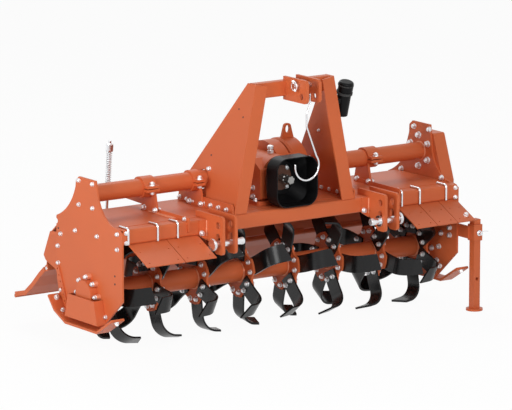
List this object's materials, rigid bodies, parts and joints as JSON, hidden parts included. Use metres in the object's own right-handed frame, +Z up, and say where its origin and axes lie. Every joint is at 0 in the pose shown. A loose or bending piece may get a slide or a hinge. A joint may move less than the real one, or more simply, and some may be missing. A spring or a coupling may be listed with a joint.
{
  "type": "rotary tiller",
  "caption": "Three-point-hitch rotary tiller: hooded tine rotor, mast, gearbox with side drive, hinged tailboard and parking stand.",
  "frame": {"origin": "on the floor, under the middle of the machine's outline", "axes": "+X to the operator's-left of a tractor seen from the front of the tiller, +Y to the rear, +Z up"},
  "size_m": [1.836, 0.988, 1.0877],
  "materials": {
    "orange_paint": "satin orange powder coat",
    "black_paint": "black dipped spring steel",
    "black_plastic": "moulded black plastic",
    "zinc_plate": "bright zinc plate",
    "bare_steel": "oiled bare steel"
  },
  "bodies": {
    "main_frame": {"left_end_plate": "orange_paint", "right_end_plate": "orange_paint", "left_skid": "orange_paint", "right_skid": "orange_paint", "skid_straps": "orange_paint", "rear_side_plates": "orange_paint", "rotor_hood": "orange_paint", "tailboard_hinge_pin": "zinc_plate", "front_beam": "orange_paint", "deck_ribs": "orange_paint", "outer_tube_clamps": "orange_paint", "inner_tube_clamps": "orange_paint", "cross_tube": "orange_paint", "left_mast_leg": "orange_paint", "right_mast_leg": "orange_paint", "mast_crossbar": "orange_paint", "top_hitch_ears": "orange_paint", "top_hitch_pin": "zinc_plate", "right_lower_hitch": "orange_paint", "left_lower_hitch": "orange_paint", "right_lower_pin": "zinc_plate", "left_lower_pin": "zinc_plate", "gearbox": "orange_paint", "pto_shield": "black_plastic", "lifting_eye": "orange_paint", "side_drive_case": "orange_paint", "bearing_housing": "orange_paint", "bearing_guard": "orange_paint", "spring_bracket": "orange_paint", "left_front_guards": "orange_paint", "right_front_guards": "orange_paint", "guard_rods": "zinc_plate", "stand_bracket": "orange_paint", "stand_pin": "zinc_plate", "driveline_hook": "zinc_plate", "manual_canister": "black_plastic"},
    "rotor": {"rotor_shaft": "orange_paint", "left_hand_tines": "black_paint", "right_hand_tines": "black_paint"},
    "input_shaft": {"pto_stub": "bare_steel"},
    "tailboard_panel": {"tailboard": "orange_paint"},
    "spring_rod_set": {"spring_rod": "zinc_plate", "tailboard_spring": "zinc_plate"},
    "parking_leg": {"stand_leg": "orange_paint"}
  },
  "joints": [
    {"name": "rotor_spin", "type": "hinge", "parent": "main_frame", "child": "rotor", "pos_m": [-0.00605, -0.119, 0.23869], "axis": [1, 0, 0], "continuous": true},
    {"name": "input_spin", "type": "hinge", "parent": "main_frame", "child": "input_shaft", "pos_m": [-0.00605, -0.333, 0.64569], "axis": [0, 1, 0], "continuous": true},
    {"name": "tailboard_lift", "type": "hinge", "parent": "main_frame", "child": "tailboard_panel", "pos_m": [-0.00605, 0.233, 0.27869], "axis": [1, 0, 0], "range_deg": [0, 30]},
    {"name": "rod_pivot", "type": "hinge", "parent": "tailboard_panel", "child": "spring_rod_set", "pos_m": [-0.52205, 0.301, 0.24669], "axis": [1, 0, 0], "range_deg": [-30, 0]},
    {"name": "stand_slide", "type": "slide", "parent": "main_frame", "child": "parking_leg", "axis": [0, 0, 1], "range_m": [0, 0.202]}
  ],
  "couplings": [
    {"joint": "input_spin", "follows": "rotor_spin", "ratio": 2.5},
    {"joint": "rod_pivot", "follows": "tailboard_lift", "ratio": -0.9343}
  ]
}
